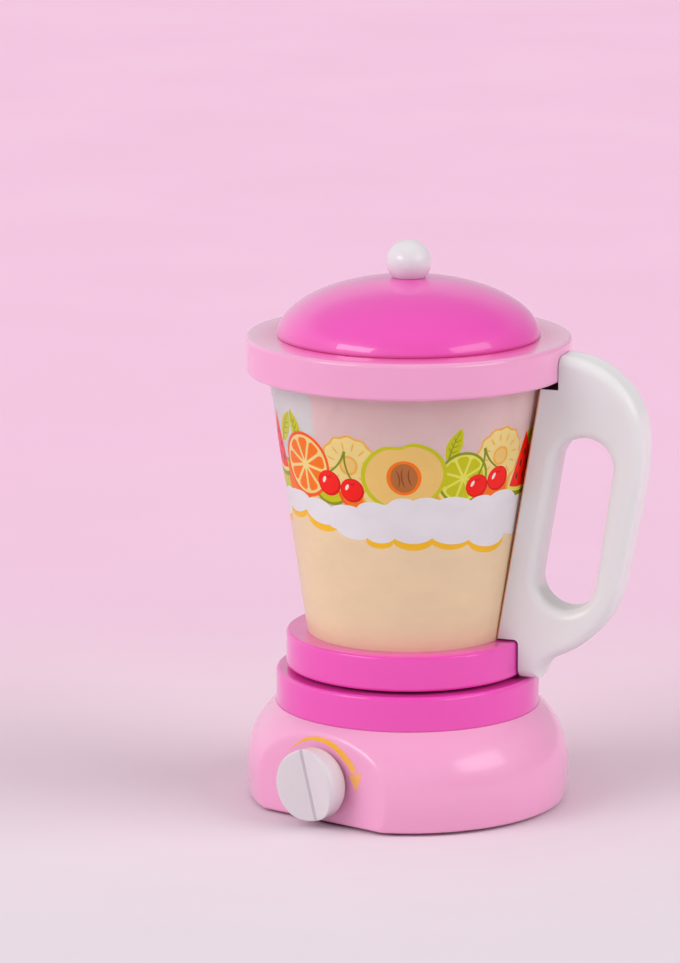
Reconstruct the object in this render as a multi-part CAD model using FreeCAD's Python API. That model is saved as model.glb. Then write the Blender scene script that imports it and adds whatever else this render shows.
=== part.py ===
import FreeCAD, Part
import math
import os

V = FreeCAD.Vector

# ---------------------------------------------------------------------------
# Wooden toy blender: base with a turning knob, lift-off jug with a clear
# tapered wall and a side handle, lift-off domed lid.
# Millimetres, +Z up, origin on the floor at the centre of the base.
# The handle points along +X.  The knob faces KNOB_AZ degrees round from -Y.
# ---------------------------------------------------------------------------

# base housing
FOOT_Z = 1.0            # underside of the housing above the floor, on its felt
FELT_R = 56.5
BASE_FOOT_R = 65.4      # housing radius at its underside
BASE_MAX_R = 67.1       # widest radius of the housing
BASE_MAX_Z = 14.5       # height of the widest ring
BASE_ARC_R = 34.0       # radius of the shoulder arc in section
BASE_TOP_Z = 40.6       # top of the housing
CAVITY_R = 42.0
CAVITY_TOP_Z = 28.6
COVER_R = 52.0
COVER_T = 4.0
FLAT_RHO = 58.4         # distance of the knob's flat from the axis
FLAT_EDGE_R = 4.5       # soft edge round the flat
FOOT_EDGE_R = 1.4       # edge at the foot

# base ring
BRING_R = 54.5
BRING_T = 14.3
RECESS_R = 24.4
RECESS_DEPTH = 9.0
PAD_R = 46.0
PAD_T = 1.3

# knob and click gear
KNOB_AZ = -19.0         # degrees from -Y, negative towards -X
KNOB_Z = 18.0
KNOB_R = 14.9
KNOB_GAP = 0.5
KNOB_T = 11.7
KNOB_RIM_R = 2.5
KNOB_BACK_R = 4.0
KNOB_V_ANGLE = 16.5     # each half of the face slopes by this to the centre line
KNOB_V_HALF = 13.2      # half width of the sloped faces at the front of the knob
KNOB_LINE_TILT = 15.5   # centre line leans this far from upright
SHAFT_R = 4.0
BUSH_BORE_R = 4.06
BUSH_R = 6.0
WHEEL_IN, WHEEL_OUT = 29.5, 35.5
WHEEL_TIP_R, WHEEL_ROOT_R, WHEEL_TEETH = 9.5, 7.8, 12

# jug
JBOT_R = 50.3
JBOT_T = 14.7
SPIGOT_R = 24.0
SPIGOT_L = 8.4
WALL_R0 = 41.5          # outer wall radius at the top of the bottom disc
WALL_R1 = 57.5          # outer wall radius at the underside of the collar
WALL_T = 1.2
WALL_H = 108.5          # visible wall height
GROOVE_D = 4.2
COLLAR_R = 66.8
COLLAR_T = 15.1
COLLAR_BORE_R = 50.0
HANDLE_T = 18.0
HANDLE_ROUND = 4.3
HANDLE_GAP = 0.5        # handle to wall at the foot
HANDLE_GAP_TOP = 2.4    # handle to wall under the collar
FOOT_GAP = 0.8          # handle to the bottom disc, bridged by the dowel

# lid
DOME_A = 54.15          # horizontal half axis of the dome's section
DOME_B = 24.9           # vertical half axis
DOME_DROP = 1.0         # ellipse centre below the rim
DOME_FLAT = 23.65       # height of the ball's seat above the rim
PLUG_R = 48.6
PLUG_T = 7.0
BALL_R = 9.2
BALL_CUT = 6.25         # ball centre above its flat

# derived levels
BRING_Z0 = BASE_TOP_Z
BRING_Z1 = BRING_Z0 + BRING_T            # 54.9
JUG_Z0 = BRING_Z1 + PAD_T                # 56.2
JBOT_Z1 = JUG_Z0 + JBOT_T                # 70.9
COLLAR_Z0 = JBOT_Z1 + WALL_H             # 179.4
COLLAR_Z1 = COLLAR_Z0 + COLLAR_T         # 194.5
SEAT_Z = COLLAR_Z1 + DOME_FLAT           # 218.15
BALL_Z = SEAT_Z + BALL_CUT               # 224.4

ZAX = V(0, 0, 1)
ORG = V(0, 0, 0)


def cyl(r, z0, z1, x=0.0, y=0.0):
    return Part.makeCylinder(r, z1 - z0, V(x, y, z0), ZAX)


def ring(ro, ri, z0, z1):
    return cyl(ro, z0, z1).cut(cyl(ri, z0 - 1, z1 + 1))


def revolve(edges):
    wire = Part.Wire(Part.__sortEdges__(edges))
    return Part.Face(wire).revolve(ORG, ZAX, 360)


def seg(a, b):
    return Part.LineSegment(V(a[0], 0, a[1]), V(b[0], 0, b[1])).toShape()


def arc(a, m, b):
    return Part.Arc(V(a[0], 0, a[1]), V(m[0], 0, m[1]), V(b[0], 0, b[1])).toShape()


def circle_point(c, r, deg):
    a = math.radians(deg)
    return (c[0] + r * math.cos(a), c[1] + r * math.sin(a))


def pick(shape, test):
    return [e for e in shape.Edges if test(e)]


def try_fillet(shape, radii, test):
    """Round the chosen edges with the first radius that gives a valid solid."""
    for r in radii:
        edges = pick(shape, test)
        if not edges:
            return shape
        try:
            out = shape.makeFillet(r, edges)
            if out.isValid() and out.Volume > 0.5 * shape.Volume and len(out.Solids) == len(shape.Solids):
                return out
        except Exception:
            pass
        print("fillet", r, "not possible, trying less")
    return shape


def polar(r, deg):
    a = math.radians(deg)
    return r * math.cos(a), r * math.sin(a)


# the knob group is built facing -Y and turned to its place
def knob_place(shape):
    s = shape.copy()
    s.rotate(ORG, ZAX, KNOB_AZ)
    return s


def ycyl(r, rho0, rho1, x=0.0, z=KNOB_Z):
    """Cylinder along the knob axis between two distances from the centre."""
    return Part.makeCylinder(r, rho1 - rho0, V(x, -rho0, z), V(0, -1, 0))


parts = {}

# ------------------------------------------------------------------ base ----
sc = (BASE_MAX_R - BASE_ARC_R, BASE_MAX_Z)                  # shoulder arc centre
top_ang = math.degrees(math.asin((BASE_TOP_Z - BASE_MAX_Z) / BASE_ARC_R))
p_top = circle_point(sc, BASE_ARC_R, top_ang)
p_mid = circle_point(sc, BASE_ARC_R, top_ang / 2)
p_max = (BASE_MAX_R, BASE_MAX_Z)
dz = BASE_MAX_Z - FOOT_Z
dr = BASE_MAX_R - BASE_FOOT_R
low_r = (dr * dr + dz * dz) / (2 * dr)                       # foot arc, tangent at the widest ring
lc = (BASE_MAX_R - low_r, BASE_MAX_Z)
low_ang = -math.degrees(math.asin(dz / low_r))
p_low = circle_point(lc, low_r, low_ang)
p_lmid = circle_point(lc, low_r, low_ang / 2)
body = revolve([
    seg((0, FOOT_Z), p_low), arc(p_low, p_lmid, p_max), arc(p_max, p_mid, p_top),
    seg(p_top, (0, BASE_TOP_Z)), seg((0, BASE_TOP_Z), (0, FOOT_Z))])
flat_tool = knob_place(Part.makeBox(200, 60, 80, V(-100, -FLAT_RHO - 60, -10)))
body = body.cut(flat_tool)
n_knob = V(math.sin(math.radians(KNOB_AZ)), -math.cos(math.radians(KNOB_AZ)), 0)


def on_flat(e):
    ps = e.discretize(9)
    return all(abs(p.dot(n_knob) - FLAT_RHO) < 1e-3 for p in ps)


body = try_fillet(body, (FLAT_EDGE_R, 3.5, 2.5, 1.2), lambda e: on_flat(e) and e.BoundBox.ZLength > 2)
body = try_fillet(body, (FOOT_EDGE_R, 1.0, 0.6), lambda e: abs(e.BoundBox.ZMax - FOOT_Z) < 1e-3)
body = body.cut(cyl(CAVITY_R, FOOT_Z - 1, CAVITY_TOP_Z))
body = body.cut(cyl(COVER_R, FOOT_Z - 1, FOOT_Z + COVER_T))
body = body.cut(knob_place(ycyl(BUSH_R, 30, 80)))
RING_SCREWS = [polar(30.0, a) for a in (30, 120, 210, 300)]
for x, y in RING_SCREWS:
    body = body.cut(cyl(1.9, CAVITY_TOP_Z - 2, BASE_TOP_Z + 2, x, y))
COVER_SCREWS = [polar(47.0, a) for a in (25, 115, 205, 295)]
for x, y in COVER_SCREWS:
    body = body.cut(cyl(1.4, FOOT_Z, FOOT_Z + 15, x, y))
parts["base_body"] = body

felt = cyl(FELT_R, 0.0, FOOT_Z)
parts["base_felt"] = felt

cover = cyl(COVER_R - 0.2, FOOT_Z, FOOT_Z + COVER_T)
for x, y in COVER_SCREWS:
    cover = cover.cut(cyl(1.6, 0, 10, x, y)).cut(cyl(3.2, FOOT_Z - 1, FOOT_Z + 2.2, x, y))
SPRING_SCREWS = [(-19.5, -32.5), (-15.5, -32.5)]
for x, y in SPRING_SCREWS:
    cover = cover.cut(knob_place(cyl(1.0, FOOT_Z + 0.8, 10, x, y)))
parts["bottom_cover"] = cover


def screw(head_r, head_h, shank_r, length, z_head_low, x, y, slot=True):
    """Wood screw standing upwards, head down, with a cross recess."""
    s = cyl(head_r, z_head_low, z_head_low + head_h, x, y).fuse(
        cyl(shank_r, z_head_low + head_h - 0.01, z_head_low + head_h + length, x, y))
    if slot:
        w, l, d = 0.7, head_r * 1.2, min(0.9, head_h * 0.6)
        for bx, by in ((w, l), (l, w)):
            s = s.cut(Part.makeBox(bx, by, d, V(x - bx / 2, y - by / 2, z_head_low)))
    return s.removeSplitter()


parts["cover_screws"] = Part.makeCompound(
    [screw(3.0, 2.0, 1.4, 12.0, FOOT_Z + 0.2, x, y) for x, y in COVER_SCREWS])

# base ring with the blind recess for the jug's spigot
bring = cyl(BRING_R, BRING_Z0, BRING_Z1)
bring = try_fillet(bring, (1.4, 1.0), lambda e: e.BoundBox.ZLength < 1e-3 and e.BoundBox.ZMin > BRING_Z1 - 1)
bring = try_fillet(bring, (0.3,), lambda e: e.BoundBox.ZLength < 1e-3 and e.BoundBox.ZMax < BRING_Z0 + 1)
bring = bring.cut(cyl(RECESS_R, BRING_Z1 - RECESS_DEPTH, BRING_Z1 + 1))
bring = try_fillet(bring, (0.8, 0.5), lambda e: abs(e.BoundBox.ZMin - BRING_Z1) < 1e-3
                   and e.BoundBox.ZLength < 1e-3 and abs(e.BoundBox.XMax - RECESS_R) < 0.2)
for x, y in RING_SCREWS:
    bring = bring.cut(cyl(1.5, BRING_Z0 - 1, BRING_Z0 + 10.0, x, y))
parts["base_ring"] = bring
parts["ring_screws"] = Part.makeCompound(
    [screw(3.4, 2.0, 1.5, 20.5, CAVITY_TOP_Z - 2.0, x, y) for x, y in RING_SCREWS])
parts["seat_pad"] = ring(PAD_R, RECESS_R + 1.6, BRING_Z1, JUG_Z0)

# bush in the housing wall
bush = ycyl(BUSH_R, 36.5, FLAT_RHO).cut(ycyl(BUSH_BORE_R, 30, 80))
parts["shaft_bush"] = knob_place(bush)

# click spring: a bent strip screwed to the cover, its nose between two teeth
zc = FOOT_Z + COVER_T
line = [(-22.0, zc), (-12.5, zc), (-3.2, 8.15), (-1.9, 8.15), (0.0, 9.25), (1.9, 8.15), (6.0, 7.4)]
up = [V(x, 0, z + 0.45) for x, z in line]
dn = [V(x, 0, z) for x, z in line]
poly = Part.makePolygon(dn + list(reversed(up)) + [dn[0]])
strip = Part.Face(poly).extrude(V(0, 4.6, 0))
strip.translate(V(0, -34.8, 0))
for x, y in SPRING_SCREWS:
    strip = strip.cut(cyl(1.1, 0, 12, x, y))
parts["click_spring"] = knob_place(strip)


def down_screw(head_r, head_h, shank_r, length, z_under_head, x, y):
    s = cyl(head_r, z_under_head, z_under_head + head_h, x, y).fuse(
        cyl(shank_r, z_under_head - length, z_under_head + 0.01, x, y))
    return s.removeSplitter()


parts["spring_screws"] = Part.makeCompound(
    [knob_place(down_screw(1.8, 1.2, 1.0, 3.6, zc + 0.45, x, y)) for x, y in SPRING_SCREWS])

# ------------------------------------------------------------------ knob ----
K0 = FLAT_RHO + KNOB_GAP
K1 = K0 + KNOB_T
knob = ycyl(KNOB_R, K0, K1)
knob = try_fillet(knob, (KNOB_RIM_R, 2.0), lambda e: abs(e.BoundBox.YMin + K1) < 1e-3 and e.BoundBox.YLength < 1e-3)
knob = try_fillet(knob, (KNOB_BACK_R, 2.0, 1.0), lambda e: abs(e.BoundBox.YMin + K0) < 1e-3 and e.BoundBox.YLength < 1e-3)
# shallow V across the face with a fine line at the bottom of it
v_tan = math.tan(math.radians(KNOB_V_ANGLE))
dep = KNOB_V_HALF * v_tan
yv = -(K1 - dep)
y_out = -(K1 + (20 - KNOB_V_HALF) * v_tan)
tri = Part.makePolygon([V(-20, y_out, -40), V(0, yv, -40), V(20, y_out, -40),
                        V(20, -K1 - 20, -40), V(-20, -K1 - 20, -40), V(-20, y_out, -40)])
vee = Part.Face(tri).extrude(V(0, 0, 80))
g = Part.makePolygon([V(-0.75, yv - 0.15, -40), V(0, yv + 0.8, -40), V(0.75, yv - 0.15, -40),
                      V(0.75, yv - 3, -40), V(-0.75, yv - 3, -40), V(-0.75, yv - 0.15, -40)])
groove = Part.Face(g).extrude(V(0, 0, 80))
for tool in (vee, groove):
    tool.rotate(ORG, V(0, 1, 0), -KNOB_LINE_TILT)
    tool.translate(V(0, 0, KNOB_Z))
knob = knob.cut(vee)


def vee_rim(e):
    # edges between the sloped faces and the rounded rim
    ps = e.discretize(5)
    rr = [math.hypot(p.x, p.z - KNOB_Z) for p in ps]
    yy = [p.y for p in ps]
    return min(rr) > 9.0 and max(yy) < -(K1 - dep - 0.4) and max(yy) < -(K0 + 3)


knob = try_fillet(knob, (0.5, 0.3), vee_rim)
knob = knob.cut(groove)
knob = knob.cut(ycyl(SHAFT_R, K0 - 1, K0 + 5.0))
parts["control_knob"] = knob_place(knob)

shaft = ycyl(SHAFT_R, WHEEL_IN, K0 + 5.0).cut(ycyl(1.5, WHEEL_IN - 1, WHEEL_IN + 14))
parts["knob_shaft"] = knob_place(shaft)

pts = []
for i in range(WHEEL_TEETH * 2):
    # a gap between two teeth points straight down
    a = math.radians(-90 + i * 180.0 / WHEEL_TEETH)
    r = WHEEL_ROOT_R if i % 2 == 0 else WHEEL_TIP_R
    pts.append(V(r * math.cos(a), -WHEEL_IN, KNOB_Z + r * math.sin(a)))
wheel = Part.Face(Part.makePolygon(pts + [pts[0]])).extrude(V(0, -(WHEEL_OUT - WHEEL_IN), 0))
wheel = wheel.cut(ycyl(SHAFT_R, 20, 50))
parts["click_wheel"] = knob_place(wheel)
parts["thrust_washer"] = knob_place(ycyl(7.0, WHEEL_OUT, WHEEL_OUT + 0.8).cut(ycyl(SHAFT_R, 20, 50)))
parts["end_washer"] = knob_place(ycyl(6.5, WHEEL_IN - 1.2, WHEEL_IN).cut(ycyl(1.6, 20, 50)))
escrew = ycyl(3.2, WHEEL_IN - 3.4, WHEEL_IN - 1.2).fuse(ycyl(1.5, WHEEL_IN - 1.21, WHEEL_IN + 12.5)).removeSplitter()
parts["shaft_screw"] = knob_place(escrew)

# ------------------------------------------------------------------- jug ----
SLOPE = (WALL_R1 - WALL_R0) / WALL_H


def wall_r(z):
    return WALL_R0 + (z - JBOT_Z1) * SLOPE


wz0, wz1 = JBOT_Z1 - GROOVE_D, COLLAR_Z0 + GROOVE_D
wall = revolve([
    seg((wall_r(wz0), wz0), (wall_r(wz1), wz1)),
    seg((wall_r(wz1), wz1), (wall_r(wz1) - WALL_T, wz1)),
    seg((wall_r(wz1) - WALL_T, wz1), (wall_r(wz0) - WALL_T, wz0)),
    seg((wall_r(wz0) - WALL_T, wz0), (wall_r(wz0), wz0))])
parts["jug_wall"] = wall

JUG_SCREWS = [polar(14.0, a) for a in (90, 210, 330)]
jbot = cyl(JBOT_R, JUG_Z0, JBOT_Z1)
jbot = try_fillet(jbot, (1.4, 1.0), lambda e: e.BoundBox.ZLength < 1e-3)
jbot = jbot.cut(wall)
for x, y in JUG_SCREWS:
    jbot = jbot.cut(cyl(1.5, JUG_Z0 - 1, JUG_Z0 + 10, x, y))
spigot = cyl(SPIGOT_R, JUG_Z0 - SPIGOT_L, JUG_Z0)
spigot = try_fillet(spigot, (1.5, 1.0), lambda e: e.BoundBox.ZLength < 1e-3 and e.BoundBox.ZMax < JUG_Z0 - 1)
for x, y in JUG_SCREWS:
    spigot = spigot.cut(cyl(1.7, 30, 80, x, y)).cut(cyl(3.6, 30, JUG_Z0 - SPIGOT_L + 2.6, x, y))
parts["jug_spigot"] = spigot
parts["spigot_screws"] = Part.makeCompound(
    [screw(3.4, 2.0, 1.5, 14.0, JUG_Z0 - SPIGOT_L + 0.6, x, y) for x, y in JUG_SCREWS])

collar = cyl(COLLAR_R, COLLAR_Z0, COLLAR_Z1)
collar = try_fillet(collar, (1.6, 1.2), lambda e: e.BoundBox.ZLength < 1e-3)
collar = collar.cut(cyl(COLLAR_BORE_R, COLLAR_Z0 - 1, COLLAR_Z1 + 1))
collar = try_fillet(collar, (1.0, 0.6), lambda e: e.BoundBox.ZLength < 1e-3 and abs(e.BoundBox.XMax - COLLAR_BORE_R) < 0.1)
collar = collar.cut(wall)

# handle: a D-shaped plate in the XZ plane, rounded all round
HZ0, HZ1 = 55.6, 190.6


def chain(p, t, ends):
    """Arcs that run on from one another without a corner."""
    out = []
    for q in ends:
        dx, dz = q[0] - p[0], q[1] - p[1]
        a = math.atan2(t[0] * dz - t[1] * dx, t[0] * dx + t[1] * dz)   # half the turn
        if abs(a) < 3e-3:
            out.append(seg(p, q))
        else:
            rad = math.hypot(dx, dz) / (2 * math.sin(a))
            c = (p[0] - t[1] * rad, p[1] + t[0] * rad)
            vx, vz = p[0] - c[0], p[1] - c[1]
            m = (c[0] + vx * math.cos(a) - vz * math.sin(a), c[1] + vx * math.sin(a) + vz * math.cos(a))
            out.append(arc(p, m, q))
        t = (t[0] * math.cos(2 * a) - t[1] * math.sin(2 * a), t[0] * math.sin(2 * a) + t[1] * math.cos(2 * a))
        p = q
    return out


outline = chain((67.5, HZ1), (1, 0), [(91.0, 181.2), (101.8, 157.0), (99.9, 133.0), (92.4, 95.0),
                                      (84.4, 78.4), (67.7, 66.0), (60.6, 60.0), (59.2, HZ0)])
inner = [seg((59.2, HZ0), (40.0, HZ0)), seg((40.0, HZ0), (40.0, HZ1)), seg((40.0, HZ1), (67.5, HZ1))]
plate = Part.Face(Part.Wire(Part.__sortEdges__(outline + inner))).extrude(V(0, HANDLE_T, 0))
plate.translate(V(0, -HANDLE_T / 2, 0))
# finger hole: two round ends joined by tangent lines
(ax, az, ar), (bx, bz, br) = (77.2, 145.3, 11.8), (69.9, 97.6, 12.4)
d = math.hypot(ax - bx, az - bz)
phi = math.atan2(az - bz, ax - bx)
off = math.acos((br - ar) / d)


def tp(cx, cz, r, a):
    return (cx + r * math.cos(a), cz + r * math.sin(a))


a1, a2 = phi + off, phi - off
hole = Part.Face(Part.Wire(Part.__sortEdges__([
    seg(tp(bx, bz, br, a1), tp(ax, az, ar, a1)),
    arc(tp(ax, az, ar, a1), tp(ax, az, ar, phi), tp(ax, az, ar, a2)),
    seg(tp(ax, az, ar, a2), tp(bx, bz, br, a2)),
    arc(tp(bx, bz, br, a2), tp(bx, bz, br, phi + math.pi), tp(bx, bz, br, a1))]))).extrude(V(0, HANDLE_T + 4, 0))
hole.translate(V(0, -HANDLE_T / 2 - 2, 0))
plate = plate.cut(hole)


def side_edge(e):
    # edges lying on either flat side of the plate, clear of the inner cut-away
    b = e.BoundBox
    return b.YLength < 1e-3 and abs(abs(b.YMin) - HANDLE_T / 2) < 1e-3 and not (b.XLength < 1e-3 and b.XMax < 41)


plate = try_fillet(plate, (HANDLE_ROUND, 4.0, 3.5, 3.0, 2.5), side_edge)
# cut back to the collar, the wall and the bottom disc
cut_cone = revolve([
    seg((0, JBOT_Z1 - 0.01), (wall_r(JBOT_Z1) + HANDLE_GAP, JBOT_Z1 - 0.01)),
    seg((wall_r(JBOT_Z1) + HANDLE_GAP, JBOT_Z1 - 0.01), (wall_r(COLLAR_Z0) + HANDLE_GAP_TOP, COLLAR_Z0)),
    seg((wall_r(COLLAR_Z0) + HANDLE_GAP_TOP, COLLAR_Z0), (0, COLLAR_Z0)),
    seg((0, COLLAR_Z0), (0, JBOT_Z1 - 0.01))])
plate = plate.cut(cut_cone)
plate = plate.cut(cyl(COLLAR_R, COLLAR_Z0 - 2.4, 260))
foot_cut = cyl(JBOT_R + FOOT_GAP, 20, JBOT_Z1 + FOOT_GAP)
foot_cut = try_fillet(foot_cut, (2.0, 1.4), lambda e: e.BoundBox.ZLength < 1e-3 and e.BoundBox.ZMin > JBOT_Z1)
plate = plate.cut(foot_cut)
plate = max(plate.Solids, key=lambda s: s.Volume) if plate.Solids else plate


def notch_edge(e):
    # upright edges where the notch for the collar meets the flat sides
    b = e.BoundBox
    return (b.ZLength > 5 and b.XLength < 1e-3 and b.YLength < 1e-3 and b.ZMin > COLLAR_Z0 - 3
            and abs(math.hypot(b.XMax, b.YMax) - COLLAR_R) < 0.05)


plate = try_fillet(plate, (0.7, 0.5, 0.3), notch_edge)


def dowel(z, x0, x1, r=3.0):
    return Part.makeCylinder(r, x1 - x0, V(x0, 0, z), V(1, 0, 0))


d_top = dowel(185.2, 60.0, 78.0, 2.6)
d_low = dowel(63.6, 37.0, 58.0, 3.0)
parts["handle"] = plate.cut(d_top).cut(d_low)
parts["jug_collar"] = collar.cut(d_top)
parts["jug_bottom"] = jbot.cut(d_low)
parts["handle_dowels"] = Part.makeCompound([d_top, d_low])

# ------------------------------------------------------------------- lid ----
ez = COLLAR_Z1 - DOME_DROP


def dome_r(z):
    return DOME_A * math.sqrt(max(0.0, 1 - ((z - ez) / DOME_B) ** 2))


ell = Part.Ellipse(V(DOME_A, 0, ez), V(0, 0, ez + DOME_B), V(0, 0, ez))
u0 = math.asin((COLLAR_Z1 - ez) / DOME_B)
u1 = math.asin((SEAT_Z - ez) / DOME_B)
ea = Part.ArcOfEllipse(ell, u0, u1).toShape()
e0 = (dome_r(COLLAR_Z1), COLLAR_Z1)
e1 = (dome_r(SEAT_Z), SEAT_Z)
dome = revolve([ea, seg((0, COLLAR_Z1), e0), seg(e1, (0, SEAT_Z)), seg((0, SEAT_Z), (0, COLLAR_Z1))])
dome = try_fillet(dome, (0.3, 0.2), lambda e: abs(e.BoundBox.ZMax - COLLAR_Z1) < 1e-3 and e.BoundBox.ZLength < 1e-3 and e.BoundBox.XMax > 50)
DOW_Z0, DOW_Z1 = COLLAR_Z1 - 4.0, BALL_Z + 3.0
dome = dome.cut(cyl(4.0, 150, 260))
LID_SCREWS = [polar(25.0, a) for a in (90, 210, 330)]
plug = cyl(PLUG_R, COLLAR_Z1 - PLUG_T, COLLAR_Z1)
plug = try_fillet(plug, (1.5, 1.0), lambda e: e.BoundBox.ZLength < 1e-3 and e.BoundBox.ZMax < COLLAR_Z1 - 1)
plug = plug.cut(cyl(4.0, DOW_Z0, 260))
for x, y in LID_SCREWS:
    dome = dome.cut(cyl(1.5, COLLAR_Z1 - 1, COLLAR_Z1 + 12, x, y))
    plug = plug.cut(cyl(1.7, 150, 260, x, y)).cut(cyl(3.6, 150, COLLAR_Z1 - PLUG_T + 2.6, x, y))
parts["lid_dome"] = dome
parts["lid_plug"] = plug
parts["lid_screws"] = Part.makeCompound(
    [screw(3.4, 2.0, 1.5, 13.5, COLLAR_Z1 - PLUG_T + 0.6, x, y) for x, y in LID_SCREWS])
ball = Part.makeSphere(BALL_R, V(0, 0, BALL_Z)).cut(cyl(30, BALL_Z - 30, SEAT_Z))
ball = try_fillet(ball, (0.5, 0.3), lambda e: abs(e.BoundBox.ZMax - SEAT_Z) < 1e-3 and e.BoundBox.ZLength < 1e-3)
ball = ball.cut(cyl(4.0, SEAT_Z - 1, DOW_Z1))
parts["lid_ball"] = ball
parts["lid_dowel"] = cyl(4.0, DOW_Z0, DOW_Z1)

# ---------------------------------------------------------------- export ----
os.makedirs("parts", exist_ok=True)
for name, shape in parts.items():
    if not shape.isValid():
        print("INVALID", name)
    bb = shape.BoundBox
    print("%-15s solids %d vol %10.1f  x %.1f..%.1f y %.1f..%.1f z %.1f..%.1f" % (
        name, len(shape.Solids), shape.Volume, bb.XMin, bb.XMax, bb.YMin, bb.YMax, bb.ZMin, bb.ZMax))
    shape.exportStep("parts/%s.step" % name)
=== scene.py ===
import math
import random

import bmesh
import bpy
from mathutils import Matrix, Vector
from mathutils.bvhtree import BVHTree
from mathutils.geometry import delaunay_2d_cdt


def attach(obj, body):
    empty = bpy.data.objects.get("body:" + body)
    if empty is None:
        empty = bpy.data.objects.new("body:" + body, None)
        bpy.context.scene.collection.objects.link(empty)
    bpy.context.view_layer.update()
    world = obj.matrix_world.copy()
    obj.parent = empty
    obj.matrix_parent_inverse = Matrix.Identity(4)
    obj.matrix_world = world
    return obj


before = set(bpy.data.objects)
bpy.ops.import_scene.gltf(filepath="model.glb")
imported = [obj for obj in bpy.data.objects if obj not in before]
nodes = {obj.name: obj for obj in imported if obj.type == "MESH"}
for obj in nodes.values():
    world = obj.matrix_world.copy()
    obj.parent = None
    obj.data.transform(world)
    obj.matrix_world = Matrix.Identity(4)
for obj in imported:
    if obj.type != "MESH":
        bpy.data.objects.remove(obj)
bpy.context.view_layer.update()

scene = bpy.context.scene
MM = 0.001


# ------------------------------------------------------------- helpers ------
def lin(r, g, b):
    """sRGB 0..255 to a linear colour."""
    out = []
    for v in (r, g, b):
        c = v / 255.0
        out.append(c / 12.92 if c <= 0.04045 else ((c + 0.055) / 1.055) ** 2.4)
    return (out[0], out[1], out[2], 1.0)


def shade(col, k):
    return (min(1.0, col[0] * k), min(1.0, col[1] * k), min(1.0, col[2] * k), 1.0)


class Mat:
    """A node material with a Principled shader and short ways to add the usual nodes."""

    def __init__(self, name):
        self.m = bpy.data.materials.new(name)
        self.m.use_nodes = True
        self.nt = self.m.node_tree
        self.p = self.nt.nodes["Principled BSDF"]
        self.out = self.nt.nodes["Material Output"]
        self.tc = self.nt.nodes.new("ShaderNodeTexCoord")

    def node(self, kind, **values):
        n = self.nt.nodes.new(kind)
        for k, v in values.items():
            setattr(n, k, v)
        return n

    def link(self, a, b):
        self.nt.links.new(a, b)

    def put(self, **values):
        for k, v in values.items():
            self.p.inputs[k.replace("_", " ")].default_value = v

    def mapped(self, scale=(1, 1, 1), rot=(0, 0, 0), loc=(0, 0, 0)):
        n = self.node("ShaderNodeMapping")
        n.inputs["Scale"].default_value = scale
        n.inputs["Rotation"].default_value = rot
        n.inputs["Location"].default_value = loc
        self.link(self.tc.outputs["Object"], n.inputs["Vector"])
        return n.outputs["Vector"]

    def noise(self, vec, scale, detail=3.0, rough=0.5, dist=0.0):
        n = self.node("ShaderNodeTexNoise")
        n.inputs["Scale"].default_value = scale
        n.inputs["Detail"].default_value = detail
        n.inputs["Roughness"].default_value = rough
        n.inputs["Distortion"].default_value = dist
        self.link(vec, n.inputs["Vector"])
        return n.outputs["Fac"]

    def remap(self, fac, a, b, lo, hi):
        n = self.node("ShaderNodeMapRange")
        n.inputs["From Min"].default_value = a
        n.inputs["From Max"].default_value = b
        n.inputs["To Min"].default_value = lo
        n.inputs["To Max"].default_value = hi
        self.link(fac, n.inputs["Value"])
        return n.outputs["Result"]

    def ramp(self, fac, stops):
        n = self.node("ShaderNodeValToRGB")
        e = n.color_ramp.elements
        while len(e) < len(stops):
            e.new(0.5)
        for i, (pos, col) in enumerate(stops):
            e[i].position = pos
            e[i].color = col
        self.link(fac, n.inputs["Fac"])
        return n.outputs["Color"]

    def mix(self, fac, a, b, mode="MIX"):
        n = self.node("ShaderNodeMix", data_type="RGBA", blend_type=mode)
        for value, sock in ((fac, n.inputs["Factor"]), (a, n.inputs["A"]), (b, n.inputs["B"])):
            pass
        ins = [s for s in n.inputs if s.enabled]
        fac_s, a_s, b_s = ins[0], ins[1], ins[2]
        for value, sock in ((fac, fac_s), (a, a_s), (b, b_s)):
            if hasattr(value, "is_linked"):
                self.link(value, sock)
            else:
                sock.default_value = value
        return next(o for o in n.outputs if o.enabled)

    def math(self, op, a, b=None):
        n = self.node("ShaderNodeMath", operation=op)
        for value, sock in ((a, n.inputs[0]), (b, n.inputs[1])):
            if value is None:
                continue
            if hasattr(value, "is_linked"):
                self.link(value, sock)
            else:
                sock.default_value = value
        return n.outputs[0]

    def bump(self, height, strength, distance, normal=None):
        n = self.node("ShaderNodeBump")
        n.inputs["Strength"].default_value = strength
        n.inputs["Distance"].default_value = distance
        self.link(height, n.inputs["Height"])
        if normal is not None:
            self.link(normal, n.inputs["Normal"])
        return n.outputs["Normal"]

    def radius_and_height(self):
        """Distance from the jug's axis and height, in metres."""
        part = self.node("ShaderNodeSeparateXYZ")
        self.link(self.tc.outputs["Object"], part.inputs[0])
        flat = self.node("ShaderNodeCombineXYZ")
        self.link(part.outputs["X"], flat.inputs["X"])
        self.link(part.outputs["Y"], flat.inputs["Y"])
        size = self.node("ShaderNodeVectorMath", operation="LENGTH")
        self.link(flat.outputs[0], size.inputs[0])
        return size.outputs["Value"], part.outputs["Z"]

    def color(self, sock):
        self.link(sock, self.p.inputs["Base Color"])

    def rough(self, sock):
        self.link(sock, self.p.inputs["Roughness"])

    def normal(self, sock):
        self.link(sock, self.p.inputs["Normal"])


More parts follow.
